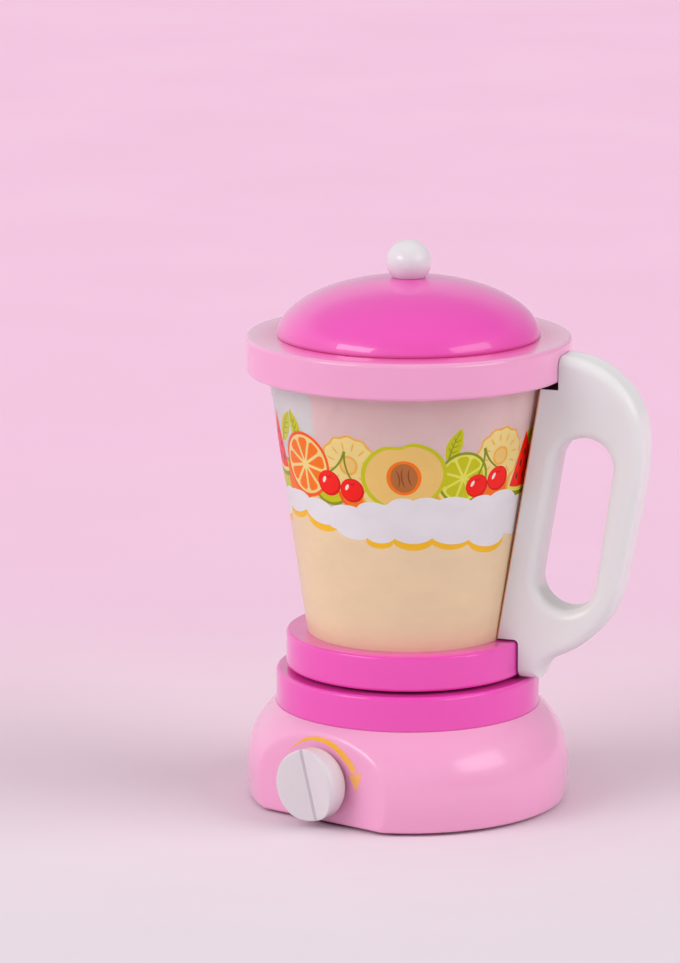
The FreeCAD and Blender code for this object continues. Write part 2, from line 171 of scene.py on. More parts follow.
# ----------------------------------------------------------- materials ------
def lacquer(name, col, grain_scale, coat=1.0, coat_rough=0.035, lo=0.26, hi=0.40, grain=0.16, spread=0.015, painted_dome_reflection=False, glue_face_and_gap_shade=False, painted_foot_shade=False):
    """Sprayed lacquer over turned or sawn wood: the grain shows faintly through it, the gloss is a clear top coat."""
    k = Mat(name)
    broad = k.noise(k.mapped(), 17.0, 0.0, 0.5)
    streak = k.noise(k.mapped(grain_scale), 1.0, 0.0, 0.5)
    c = k.ramp(broad, [(0.0, shade(col, 1.0 - 1.6 * spread)), (1.0, shade(col, 1.0 + 1.6 * spread))])
    c = k.mix(k.remap(streak, 0.0, 1.0, 0.0, grain), c, shade(col, 0.86))
    if painted_dome_reflection:
        # painted reflection: a hot-pink ring on the collar's top beside the dome's foot, standing in for the magenta
        # dome mirrored in the glossy top and the magenta light it bounces there
        r, z = k.radius_and_height()
        dome_reflection_mask = k.math("MULTIPLY", k.remap(r, 0.0540, 0.0650, 1.0, 0.0), k.remap(r, 0.0500, 0.0528, 0.0, 1.0))
        dome_reflection_mask = k.math("MULTIPLY", dome_reflection_mask, k.remap(z, 0.1930, 0.1944, 0.0, 0.86))
        c = k.mix(dome_reflection_mask, c, lin(244, 72, 172))
    if painted_foot_shade:
        # painted shade: a darker magenta line along the dome's lowest millimetre, where it meets the collar
        r, z = k.radius_and_height()
        c = k.mix(k.remap(z, 0.19505, 0.19585, 0.85, 0.0), c, lin(204, 40, 134))
    if glue_face_and_gap_shade:
        # unpainted wood on the faces that meet the jug, carried a little onto the front face as a brown line that
        # paints the shadowed gap beside the wall; and painted shade, a near-black red, in the collar's notch, where the
        # gap under the collar lies in shadow
        r, z = k.radius_and_height()
        wall = k.math("ADD", k.math("MULTIPLY", z, 0.164977), 0.0420 - 0.0709 * 0.164977 + 0.00012)
        seam = k.remap(k.math("SUBTRACT", r, wall), 0.00026, 0.00042, 1.0, 0.0)
        blot = k.noise(k.mapped((120, 120, 60)), 1.0, 2.0, 0.5)
        c = k.mix(seam, c, k.ramp(blot, [(0.3, lin(216, 142, 84)), (0.7, lin(234, 166, 110))]))
        # painted shade: the notch below the collar is coloured near black
        notch = k.math("MULTIPLY", k.remap(z, 0.17678, 0.17695, 0.0, 1.0), k.remap(r, 0.06686, 0.06700, 1.0, 0.0))
        c = k.mix(notch, c, k.ramp(blot, [(0.3, lin(52, 6, 14)), (0.7, lin(66, 10, 18))]))
    k.color(c)
    rough = k.remap(streak, 0.0, 1.0, lo, hi)
    if glue_face_and_gap_shade:
        seam_or_shade = k.math("MAXIMUM", seam, notch)
        rough = k.math("MAXIMUM", rough, k.math("MULTIPLY", seam_or_shade, 0.88))
    k.rough(rough)
    wavy = k.noise(k.mapped(), 38.0, 0.0, 0.4)
    k.normal(k.bump(wavy, 0.20, 0.00020))
    k.put(Coat_Weight=coat, Coat_Roughness=coat_rough, Coat_IOR=1.52, Specular_IOR_Level=0.5)
    if glue_face_and_gap_shade:
        k.link(k.math("MULTIPLY", k.math("SUBTRACT", 1.0, seam_or_shade), coat), k.p.inputs["Coat Weight"])
    return k.m


def bare_wood(name, axis="z"):
    """Sanded, unfinished beech or pine: growth rings cut across a disc turned from a board, long grain on the dowels."""
    k = Mat(name)
    sc = {"z": (26, 26, 7), "x": (6, 30, 30), "y": (30, 6, 30)}[axis]
    warp = k.noise(k.mapped((9, 9, 4)), 1.0, 3.0, 0.5, 0.6)
    if axis == "z":
        w = k.node("ShaderNodeTexWave", wave_type="RINGS", rings_direction="X", wave_profile="SAW")
        w.inputs["Scale"].default_value = 78.0
        w.inputs["Distortion"].default_value = 3.0
        lie = k.mapped((0.16, 1.0, 1.0), (0.02, 0.05, 0.03))
    else:
        w = k.node("ShaderNodeTexWave", wave_type="BANDS", bands_direction="X", wave_profile="SAW")
        w.inputs["Scale"].default_value = 42.0
        w.inputs["Distortion"].default_value = 5.5
        lie = k.mapped((1.0, 0.25, 0.22), (0.15, 0.1, 0.5))
    w.inputs["Detail"].default_value = 3.0
    w.inputs["Detail Scale"].default_value = 0.6
    k.link(lie, w.inputs["Vector"])
    pores = k.noise(k.mapped(tuple(30 * s for s in sc)), 1.0, 2.0, 0.7)
    base = k.ramp(w.outputs["Fac"], [(0.0, lin(226, 196, 152)), (0.62, lin(212, 178, 130)), (0.95, lin(184, 143, 96))])
    base = k.mix(k.remap(warp, 0.3, 0.7, 0.0, 0.35), base, lin(219, 183, 137))
    base = k.mix(k.remap(pores, 0.55, 0.8, 0.0, 0.35), base, lin(150, 108, 68))
    k.color(base)
    k.rough(k.remap(pores, 0.3, 0.8, 0.52, 0.74))
    k.normal(k.bump(pores, 0.35, 0.00012))
    return k.m


def felt(name, col):
    """Pressed wool felt: short crossing fibres and a soft sheen."""
    k = Mat(name)
    a = k.noise(k.mapped((1, 1, 1)), 900.0, 4.0, 0.75, 1.2)
    b = k.noise(k.mapped((2200, 320, 900), (0, 0, 0.6)), 1.0, 2.0, 0.6)
    d = k.noise(k.mapped((320, 2200, 900), (0, 0, -0.3)), 1.0, 2.0, 0.6)
    fib = k.math("MAXIMUM", b, d)
    c = k.ramp(fib, [(0.40, shade(col, 0.62)), (0.60, col), (0.80, shade(col, 1.7))])
    c = k.mix(k.remap(a, 0.35, 0.7, 0.0, 0.35), c, shade(col, 0.7))
    k.color(c)
    k.rough(k.remap(a, 0.3, 0.7, 0.88, 1.0))
    k.normal(k.bump(k.math("ADD", fib, a), 0.6, 0.00025))
    k.put(Sheen_Weight=0.35, Sheen_Roughness=0.45, Specular_IOR_Level=0.2)
    return k.m


def zinc(name):
    """Zinc-plated steel: bright, faintly blue and yellow in patches, with fine turning marks."""
    k = Mat(name)
    patch = k.noise(k.mapped(), 160.0, 3.0, 0.55, 0.8)
    marks = k.noise(k.mapped((260, 260, 5200)), 1.0, 2.0, 0.5)
    k.color(k.ramp(patch, [(0.30, (0.53, 0.55, 0.60, 1)), (0.55, (0.62, 0.62, 0.61, 1)), (0.75, (0.66, 0.63, 0.55, 1))]))
    k.rough(k.remap(patch, 0.3, 0.7, 0.24, 0.40))
    k.normal(k.bump(marks, 0.25, 0.00004))
    k.put(Metallic=1.0)
    return k.m


def nylon(name):
    """Natural moulded nylon: milky, slightly waxy, with flow marks."""
    k = Mat(name)
    flow = k.noise(k.mapped((60, 160, 60)), 1.0, 4.0, 0.55, 1.5)
    tiny = k.noise(k.mapped(), 1400.0, 2.0, 0.5)
    k.color(k.ramp(flow, [(0.3, lin(226, 222, 208)), (0.7, lin(240, 237, 226))]))
    k.rough(k.remap(flow, 0.3, 0.7, 0.34, 0.48))
    k.normal(k.bump(tiny, 0.12, 0.00006))
    k.put(Subsurface_Weight=0.15, Subsurface_Scale=0.002)
    return k.m


def clear_sleeve(name):
    """Thin clear plastic wall: what is behind shows straight through, the surface only mirrors and holds a faint haze."""
    k = Mat(name)
    k.nt.nodes.remove(k.p)
    see = k.node("ShaderNodeBsdfTransparent")
    gloss = k.node("ShaderNodeBsdfGlossy")
    haze = k.node("ShaderNodeBsdfDiffuse")
    fres = k.node("ShaderNodeFresnel")
    side = k.node("ShaderNodeNewGeometry")
    # the wall's inner side mirrors no more than its outer side
    k.link(k.remap(side.outputs["Backfacing"], 0.0, 1.0, 1.5, 1 / 1.5), fres.inputs["IOR"])
    flow = k.noise(k.mapped((14, 14, 5)), 1.0, 3.0, 0.5, 0.7)
    ripple = k.noise(k.mapped((70, 70, 18)), 1.0, 2.0, 0.45)
    k.link(k.ramp(flow, [(0.3, (0.955, 0.945, 0.950, 1)), (0.7, (0.975, 0.968, 0.972, 1))]), see.inputs["Color"])
    k.link(k.remap(flow, 0.3, 0.7, 0.03, 0.07), gloss.inputs["Roughness"])
    gloss.inputs["Color"].default_value = (1, 1, 1, 1)
    haze.inputs["Color"].default_value = (0.90, 0.84, 0.86, 1)
    n = k.bump(ripple, 0.08, 0.00030)
    k.link(n, gloss.inputs["Normal"])
    k.link(n, fres.inputs["Normal"])
    body = k.node("ShaderNodeMixShader")
    k.link(k.remap(flow, 0.3, 0.7, 0.05, 0.09), body.inputs["Fac"])
    k.link(see.outputs[0], body.inputs[1])
    k.link(haze.outputs[0], body.inputs[2])
    top = k.node("ShaderNodeMixShader")
    k.link(fres.outputs[0], top.inputs["Fac"])
    k.link(body.outputs[0], top.inputs[1])
    k.link(gloss.outputs[0], top.inputs[2])
    k.link(top.outputs[0], k.out.inputs["Surface"])
    return k.m


def ink(name, col, coat=0.6, through=0.0, worn=None):
    """Screen-printed ink: nearly even, with the faint mottle of the squeegee and a soft gloss; some light passes through it."""
    k = Mat(name)
    mott = k.noise(k.mapped((55, 55, 90)), 1.0, 4.0, 0.6)
    mesh = k.noise(k.mapped(), 1500.0, 1.0, 0.5)
    c = k.ramp(mott, [(0.30, shade(col, 0.965)), (0.70, shade(col, 1.03))])
    if worn:
        # thinner towards both ends, so that the lacquer shows through in specks
        way, a0, a1, b0, b1, under = worn
        along = k.node("ShaderNodeVectorMath", operation="DOT_PRODUCT")
        along.inputs[1].default_value = tuple(way)
        k.link(k.tc.outputs["Object"], along.inputs[0])
        ends = k.math("MAXIMUM", k.remap(along.outputs["Value"], a0, a1, 1.0, 0.0), k.remap(along.outputs["Value"], b0, b1, 0.0, 1.0))
        speck = k.noise(k.mapped((420, 420, 420)), 1.0, 2.0, 0.6)
        c = k.mix(k.math("MULTIPLY", ends, k.remap(speck, 0.35, 0.65, 0.30, 0.80)), c, under)
    k.color(c)
    k.rough(k.remap(mott, 0.3, 0.7, 0.30, 0.42))
    k.normal(k.bump(mesh, 0.06, 0.00003))
    k.put(Coat_Weight=coat, Coat_Roughness=0.06, Coat_IOR=1.49, Specular_IOR_Level=0.15)
    if through:
        back = k.node("ShaderNodeBsdfTranslucent")
        k.link(c, back.inputs["Color"])
        both = k.node("ShaderNodeMixShader")
        both.inputs["Fac"].default_value = through
        k.link(k.p.outputs[0], both.inputs[1])
        k.link(back.outputs[0], both.inputs[2])
        k.link(both.outputs[0], k.out.inputs["Surface"])
    return k.m


PINK = lin(239, 161, 202)
MAGENTA = lin(236, 66, 180)
WHITE = lin(224, 220, 222)
pink = lacquer("pink_lacquer", PINK, (7, 90, 90), coat_rough=0.11)
# the collar's lacquer carries a painted reflection of the dome, a hot-pink ring by its foot
pink_collar = lacquer("pink_lacquer_collar", PINK, (7, 90, 120), coat_rough=0.05, lo=0.12, hi=0.20, painted_dome_reflection=True)
magenta = lacquer("magenta_lacquer", MAGENTA, (7, 90, 110))
# the dome's lacquer carries a painted shade line along its foot
magenta_dome = lacquer("magenta_lacquer_dome", lin(236, 78, 182), (90, 7, 90), painted_foot_shade=True)
white = lacquer("white_lacquer", lin(216, 209, 212), (90, 8, 90), coat=0.7, coat_rough=0.08, grain=0.10, spread=0.010)
white_ball = lacquer("white_lacquer_ball", WHITE, (90, 8, 90), coat=0.7, coat_rough=0.08, grain=0.10, spread=0.010)
# the handle's lacquer carries painted gap shade: a brown line beside the wall and a near-black notch under the collar
white_ply = lacquer("white_lacquer_handle", lin(229, 228, 227), (110, 110, 8), coat=0.55, coat_rough=0.12, grain=0.12, spread=0.010, glue_face_and_gap_shade=True)
wood_z = bare_wood("bare_wood_turned", "z")
wood_x = bare_wood("bare_wood_long", "x")
felt_base = felt("felt_base", (0.16, 0.045, 0.095, 1))
felt_pad = felt("felt_pad", (0.10, 0.022, 0.055, 1))
steel = zinc("zinc_steel")
nyl = nylon("nylon")
clear = clear_sleeve("clear_sleeve")

FINISH = {
    "base_body": pink, "jug_collar": pink_collar,
    "base_ring": magenta, "jug_bottom": magenta, "lid_dome": magenta_dome,
    "control_knob": white, "lid_ball": white_ball, "handle": white_ply,
    "jug_wall": clear,
    "bottom_cover": wood_z, "jug_spigot": wood_z, "lid_plug": wood_z,
    "handle_dowels": wood_x, "lid_dowel": wood_x,
    "base_felt": felt_base, "seat_pad": felt_pad,
    "cover_screws": steel, "ring_screws": steel, "spigot_screws": steel, "lid_screws": steel,
    "spring_screws": steel, "shaft_screw": steel, "end_washer": steel, "knob_shaft": steel, "click_spring": steel,
    "shaft_bush": nyl, "click_wheel": nyl, "thrust_washer": nyl,
}
for name, material in FINISH.items():
    o = nodes[name]
    for slot in o.material_slots:
        slot.material = material
    if not o.material_slots:
        o.data.materials.append(material)


# -------------------------------------------------- print on the jug wall ---
# The print is laid out flat: s runs round the jug in mm at radius REF (positive to the right of the
# side that faces the camera), z is the height.  It is cut into faces, one ink each, and wrapped on the wall.
REF = 52.0
TURN = 2 * math.pi * REF
VIEW_AZ = -72.0                     # s = 0 lies at this azimuth
WALL_Z0, WALL_R0, WALL_SLOPE = 70.9, 41.5, 0.147465


def at(u):
    return math.radians(u) * REF


def rot(points, deg, cx, cz):
    a = math.radians(deg)
    c, s = math.cos(a), math.sin(a)
    return [(cx + (x - cx) * c - (z - cz) * s, cz + (x - cx) * s + (z - cz) * c) for x, z in points]


def oval(cx, cz, a, b=None, deg=0.0, n=40):
    b = a if b is None else b
    return rot([(cx + a * math.cos(2 * math.pi * i / n), cz + b * math.sin(2 * math.pi * i / n)) for i in range(n)], deg, cx, cz)


def stroke(points, widths):
    """A brush line along points, with a width at each."""
    left, right = [], []
    for i, (x, z) in enumerate(points):
        x0, z0 = points[max(i - 1, 0)]
        x1, z1 = points[min(i + 1, len(points) - 1)]
        dx, dz = x1 - x0, z1 - z0
        d = math.hypot(dx, dz) or 1.0
        w = widths[i] / 2
        left.append((x - dz / d * w, z + dx / d * w))
        right.append((x + dz / d * w, z - dx / d * w))
    return left + right[::-1]


def bow(p0, p1, lift, n=10):
    """Points on a bowed line from p0 to p1, lifted sideways by lift in its middle."""
    dx, dz = p1[0] - p0[0], p1[1] - p0[1]
    d = math.hypot(dx, dz)
    nx, nz = -dz / d, dx / d
    out = []
    for i in range(n + 1):
        t = i / n
        k = 4 * t * (1 - t) * lift
        out.append((p0[0] + dx * t + nx * k, p0[1] + dz * t + nz * k))
    return out


def sector(cx, cz, r0, r1, a0, a1, n=8, soft=0.12):
    """A slice of a ring with eased corners, angles in degrees."""
    pts = []
    da = a1 - a0
    am = (a0 + a1) / 2
    pts.append((cx + r0 * math.cos(math.radians(am)), cz + r0 * math.sin(math.radians(am))))
    for i in range(n + 1):
        t = i / n
        e = min(t, 1 - t)
        r = r1 * (1 - soft * max(0.0, 1 - e / 0.22) ** 2)
        a = math.radians(a0 + da * t)
        pts.append((cx + r * math.cos(a), cz + r * math.sin(a)))
    return pts


def citrus(cx, cz, r, turn, rim, pith, pulp, n=9, k=1.0, lean=0.0):
    out = [(rim, oval(cx, cz, r)), (pith, oval(cx, cz, r * 0.90))]
    for i in range(n):
        a = turn + 360.0 * i / n
        half = 180.0 / n - 3.6
        out.append((pulp, sector(cx, cz, r * 0.13, r * 0.82, a - half, a + half)))
    squashed = []
    for name, poly in out:
        poly = [(cx + (x - cx) * k, z) for x, z in poly]
        squashed.append((name, rot(poly, lean, cx, cz)))
    return squashed


def leaf(cx, cz, length, width, deg, body, vein):
    pts = []
    for i in range(15):
        t = i / 14
        pts.append((cx - length / 2 + length * t, cz + width / 2 * math.sin(math.pi * t) ** 0.8 * (1.12 - 0.3 * t)))
    for i in range(1, 14):
        t = 1 - i / 14
        pts.append((cx - length / 2 + length * t, cz - width / 2 * math.sin(math.pi * t) ** 0.8 * (1.12 - 0.3 * t)))
    mid = [(cx - length * 0.46 + length * 0.86 * i / 8, cz + 0.04 * length * math.sin(math.pi * i / 8)) for i in range(9)]
    out = [(body, rot(pts, deg, cx, cz)), (vein, rot(stroke(mid, [0.75 - 0.07 * i for i in range(9)]), deg, cx, cz))]
    for i, t in enumerate((0.30, 0.48, 0.66)):
        x = cx - length * 0.46 + length * 0.86 * t
        for side in (1, -1):
            tip = (x + length * 0.11, cz + side * width * (0.30 - 0.04 * i))
            out.append((vein, rot(stroke(bow((x, cz), tip, 0.2 * side, 4), [0.42, 0.38, 0.34, 0.28, 0.2]), deg, cx, cz)))
    return out


def cherries(cx, cz, r, spread=1.0, flip=1.0):
    """A pair on one stalk."""
    a = (cx - flip * r * 0.95 * spread, cz)
    b = (cx + flip * r * 0.98 * spread, cz - r * 0.35)
    top = (cx + flip * r * 0.55, cz + r * 2.55)
    out = [("ink_leaf", stroke(bow((a[0], a[1] + r * 0.8), top, flip * -1.3, 8), [0.9, 0.85, 0.8, 0.8, 0.8, 0.85, 0.9, 1.0, 1.2])),
           ("ink_leaf", stroke(bow((b[0], b[1] + r * 0.8), top, flip * 1.1, 8), [0.9, 0.85, 0.8, 0.8, 0.8, 0.85, 0.9, 1.0, 1.2]))]
    for (x, z), k in ((a, 1.0), (b, 0.94)):
        q = r * k
        out.append(("ink_red_deep", oval(x, z, q * 1.02, q * 0.96)))
        out.append(("ink_red", oval(x - 0.07 * q, z + 0.06 * q, q * 0.90, q * 0.86)))
        out.append(("ink_red_deep", stroke(bow((x - q * 0.30, z + q * 0.62), (x + q * 0.30, z + q * 0.62), -q * 0.16, 8), [0.1, 0.4, 0.6, 0.7, 0.7, 0.7, 0.6, 0.4, 0.1])))
        out.append(("ink_spark", rot(oval(x - q * 0.42, z + q * 0.22, q * 0.13, q * 0.27, 0, 18), -28, x - q * 0.42, z + q * 0.22)))
    return out


def melon(cx, cz, r, half, deg):
    """A watermelon wedge, its point at (cx, cz) and its rind away from it along deg."""
    a0, a1 = deg - half, deg + half

    def fan(r0, k):
        pts = [(cx + r0 * math.cos(math.radians(deg)), cz + r0 * math.sin(math.radians(deg)))]
        for i in range(21):
            a = math.radians(a0 + k + (a1 - a0 - 2 * k) * i / 20)
            pts.append((cx + (r - r0 * 1.0) * math.cos(a) + r0 * math.cos(math.radians(deg)) * 0, cz + (r - r0) * math.sin(a)))
        return pts

    out = [("ink_lime_dark", fan(0.0, 0.0))]
    pts = [(cx, cz)]
    for i in range(21):
        a = math.radians(a0 + (a1 - a0) * i / 20)
        pts.append((cx + r * 0.93 * math.cos(a), cz + r * 0.93 * math.sin(a)))
    out.append(("ink_lime_pale", pts))
    pts = [(cx, cz)]
    for i in range(21):
        a = math.radians(a0 + (a1 - a0) * i / 20)
        pts.append((cx + r * 0.87 * math.cos(a), cz + r * 0.87 * math.sin(a)))
    out.append(("ink_red", pts))
    for rr, aa in ((0.34, 0.0), (0.50, -0.45), (0.52, 0.42), (0.70, -0.62), (0.70, -0.02), (0.71, 0.60)):
        a = math.radians(deg + half * aa)
        x, z = cx + r * rr * math.cos(a), cz + r * rr * math.sin(a)
        out.append(("ink_pip", oval(x, z, r * 0.052, r * 0.026, math.degrees(a), 14)))
    return out


def pineapple(cx, cz, r, turn):
    """A cut ring: notched edge, open core, short rays."""
    n = 72
    rim = []
    for i in range(n):
        a = 2 * math.pi * i / n
        q = r * (1 + 0.035 * math.cos(12 * a + turn))
        rim.append((cx + q * math.cos(a), cz + q * math.sin(a)))
    out = [("ink_ochre", rim), ("ink_straw", [(cx + (x - cx) * 0.93, cz + (z - cz) * 0.93) for x, z in rim])]
    for i in range(12):
        a = 2 * math.pi * (i + 0.5) / 12 - turn / 12
        p0 = (cx + r * 0.50 * math.cos(a), cz + r * 0.50 * math.sin(a))
        p1 = (cx + r * 0.80 * math.cos(a), cz + r * 0.80 * math.sin(a))
        out.append(("ink_ochre", stroke(bow(p0, p1, 0.12, 4), [0.25, 0.6, 0.7, 0.5, 0.2])))
    out.append(("ink_ochre", oval(cx, cz, r * 0.33)))
    out.append(("ink_flesh", oval(cx, cz, r * 0.25)))
    return out


def peach(cx, cz, a, b, deg, skin="ink_orange"):
    """Half a stone fruit, cut face to the front, with its stone."""
    def outline(k, cleft):
        pts = []
        for i in range(64):
            t = 2 * math.pi * i / 64
            d = abs(((math.degrees(t) - 90 + 180) % 360) - 180)
            q = k * (1 - cleft * math.exp(-(d / 13.0) ** 2))
            pts.append((cx + a * q * math.cos(t), cz + b * q * math.sin(t)))
        return rot(pts, deg, cx, cz)

    out = [(skin, outline(1.0, 0.13)), ("ink_flesh", outline(0.90, 0.12))]
    px, pz = rot([(cx, cz - b * 0.04)], deg, cx, cz)[0]
    out.append(("ink_orange", oval(px, pz, a * 0.40, b * 0.50, deg)))
    out.append(("ink_stone", oval(px, pz, a * 0.31, b * 0.42, deg)))
    for k in (-0.5, 0.0, 0.5):
        p0 = rot([(px + a * 0.31 * k, pz + b * 0.30 * (1 - 0.3 * abs(k)))], deg, px, pz)[0]
        p1 = rot([(px + a * 0.31 * k, pz - b * 0.30 * (1 - 0.3 * abs(k)))], deg, px, pz)[0]
        out.append(("ink_stone_dark", stroke(bow(p0, p1, -a * 0.05 * (1 if k >= 0 else -1), 6), [0.1, 0.45, 0.6, 0.6, 0.6, 0.45, 0.1])))
    return out


def wave(s, terms):
    return sum(a * math.sin(2 * math.pi * s / TURN * k + p) for a, k, p in terms)


shapes = []

# a see-through milky tint all round above the cream, paler and thinner beside the sleeve's seam
shapes.append(("ink_mist", [(-TURN / 2 - 5, 122.0), (TURN / 2 + 5, 122.0), (TURN / 2 + 5, 179.35), (-TURN / 2 - 5, 179.35)]))
TINT = (at(-44), at(227))
for x0, x1 in ((TINT[0], TINT[1]), (TINT[0] - TURN, TINT[1] - TURN)):
    shapes.append(("ink_tint", [(max(x0, -TURN / 2 - 5), 122.0), (min(x1, TURN / 2 + 5), 122.0), (min(x1, TURN / 2 + 5), 179.35), (max(x0, -TURN / 2 - 5), 179.35)]))

# the drink fills everything up to the middle of the cream, whose edges run in two waves
TOP = [(2.4, 3, 0.6), (1.4, 7, 2.0)]
LOW = [(4.0, 2, 3.9), (2.2, 5, 0.4)]
level = [-TURN / 2 - 5 + i * (TURN + 10) / 60 for i in range(61)]
shapes.append(("ink_drink", [(-TURN / 2 - 5, WALL_Z0 + 0.02), (TURN / 2 + 5, WALL_Z0 + 0.02)]
               + [(x, 127.75 + 0.5 * (wave(x, TOP) + wave(x, LOW))) for x in level[::-1]]))

# slices that fill the gaps low down
fill = random.Random(5)
for i in range(30):
    u = -180 + 12 * i + fill.uniform(-2, 2)
    r = fill.uniform(8.0, 10.5)
    z = 139.5 + fill.uniform(-1.5, 3.5)
    if -140 < u < -100:
        z = 138.0
    rim, inner = (("ink_lime_dark", "ink_lime"), ("ink_orange_deep", "ink_orange"), ("ink_ochre", "ink_straw"))[i % 3]
    shapes += [(rim, oval(at(u), z, r, r * 0.94)), (inner, oval(at(u), z, r * 0.88, r * 0.82))]

O, L = ("ink_orange_deep", "ink_straw", "ink_orange"), ("ink_lime_dark", "ink_lime_pale", "ink_lime")
Y = ("ink_ochre", "ink_spark", "ink_yellow")
# back row first, then the front row
shapes += pineapple(at(-27), 149.5, 12.5, 0.4)
shapes += pineapple(at(44), 152.0, 12.0, 1.7)
shapes += pineapple(at(104), 148.5, 12.5, 2.4)
shapes += pineapple(at(171), 151.0, 12.5, 0.9)
shapes += pineapple(at(-118), 136.5, 12.0, 2.0)
shapes += leaf(at(-66), 160.5, 17, 7.0, 58, "ink_lime", "ink_lime_dark")
shapes += leaf(at(-57), 162.0, 15, 6.4, 108, "ink_lime", "ink_lime_dark")
shapes += leaf(at(20), 158.5, 15, 6.6, 70, "ink_lime", "ink_lime_dark")
shapes += leaf(at(64), 156.5, 15, 6.4, 40, "ink_lime", "ink_lime_dark")
shapes += leaf(at(128), 158.5, 16, 6.8, 112, "ink_lime", "ink_lime_dark")
shapes += leaf(at(-153), 158.0, 16, 6.8, 66, "ink_lime", "ink_lime_dark")
shapes += citrus(at(-52), 147.0, 13.6, 12, *O)
shapes += citrus(at(25), 144.5, 11.0, 4, *L, n=8)
shapes += citrus(at(86), 146.0, 12.5, 20, *O)
shapes += citrus(at(-99), 137.5, 11.5, 31, *L, n=8)
shapes += citrus(at(151), 145.5, 12.8, 8, *Y, n=9)
shapes += citrus(at(-160), 144.0, 11.4, 17, *O)
shapes += melon(at(-76), 165.5, 27.0, 24, -98)
shapes += melon(at(61), 160.0, 27.0, 25, -84)
shapes += melon(at(130), 162.0, 27.0, 24, -95)
shapes += melon(at(-147), 160.0, 26.0, 24, -84)
shapes += peach(at(-2), 146.0, 17.5, 14.5, 8, "ink_lime")
shapes += peach(at(112), 143.0, 14.5, 12.0, -14)
shapes += peach(at(-179), 144.0, 15.0, 12.5, 12, "ink_lime")
shapes += cherries(at(-32), 141.0, 5.6)
shapes += cherries(at(38), 142.5, 5.4, flip=-1.0)
shapes += cherries(at(75), 140.5, 5.4)
shapes += cherries(at(-116), 141.0, 5.5, flip=-1.0)

# the cream: two rows of rounded lobes round a band, outlined below in ochre by a broken brush line
rng = random.Random(11)
lobes, lines = [], []
s = -TURN / 2
while s < TURN / 2 - 3:
    step = rng.uniform(8.0, 15.0)
    r = step * rng.uniform(0.50, 0.60)
    c = s + step / 2
    lobes.append(oval(c, 132.6 + wave(c, TOP) - r * 0.25, r * 1.15, r * 0.62, rng.uniform(-10, 10), 30))
    s += step
s = -TURN / 2
count = 0
while s < TURN / 2 - 3:
    step = rng.uniform(11.0, 21.0)
    r = step * rng.uniform(0.50, 0.56)
    c = s + step / 2
    tilt = rng.uniform(-9, 9)
    zc = 122.0 + wave(c, LOW) + r * 0.20
    lobes.append(oval(c, zc, r * 1.10, r * 0.52, tilt, 34))
    if count % 5 != 3:
        off = rng.uniform(-0.35, 0.45)
        lines.append(oval(c + off, zc - rng.uniform(2.2, 2.9), r * 1.06, r * 0.53, tilt + rng.uniform(-2, 2), 34))
    s += step
    count += 1
band = [(-TURN / 2 - 5 + i * (TURN + 10) / 90, 0) for i in range(91)]
band = [(x, 133.0 + wave(x, TOP)) for x, _ in band] + [(x, 122.5 + wave(x, LOW)) for x, _ in band[::-1]]
shapes += [("ink_ochre_line", p) for p in lines]
shapes += [("ink_cream", p) for p in lobes]
shapes.append(("ink_cream", band))

# a shape that crosses the back seam is also drawn one turn away
wrapped = []
for name, poly in shapes:
    wrapped.append((name, poly))
    xs = [x for x, _ in poly]
    if max(xs) > TURN / 2 and min(xs) > -TURN / 2:
        wrapped.append((name, [(x - TURN, z) for x, z in poly]))
    if min(xs) < -TURN / 2 and max(xs) < TURN / 2:
        wrapped.append((name, [(x + TURN, z) for x, z in poly]))


def inside(poly_arrays, x, z):
    px, pz, qx, qz = poly_arrays
    cross = (pz > z) != (qz > z)
    if not cross.any():
        return False
    t = (z - pz[cross]) / (qz[cross] - pz[cross])
    return bool(np.count_nonzero(px[cross] + t * (qx[cross] - px[cross]) > x) % 2)


import numpy as np

verts, edges, tests = [], [], []
for name, poly in wrapped:
    first = len(verts)
    verts += [Vector(p) for p in poly]
    n = len(poly)
    edges += [(first + i, first + (i + 1) % n) for i in range(n)]
    a = np.array(poly, float)
    b = np.roll(a, -1, axis=0)
    tests.append((name, a.min(0), a.max(0), (a[:, 0], a[:, 1], b[:, 0], b[:, 1])))
COLUMNS = 144
for i in range(COLUMNS + 1):
    x = -TURN / 2 + TURN * i / COLUMNS
    first = len(verts)
    verts += [Vector((x, WALL_Z0 - 1.0)), Vector((x, 182.0))]
    edges.append((first, first + 1))
cdt = delaunay_2d_cdt(verts, edges, [], 0, 1e-5, False)
points, faces = cdt[0], cdt[2]
half = TURN / 2 + 1e-4
painted = []
for f in faces:
    tri = [points[i] for i in f]
    cx = sum(p.x for p in tri) / 3
    cz = sum(p.y for p in tri) / 3
    if abs(cx) > half:
        continue
    hit = None
    for name, lo, hi, arrays in reversed(tests):
        if lo[0] <= cx <= hi[0] and lo[1] <= cz <= hi[1] and inside(arrays, cx, cz):
            hit = name
            break
    if hit:
        painted.append((tuple(f), hit))

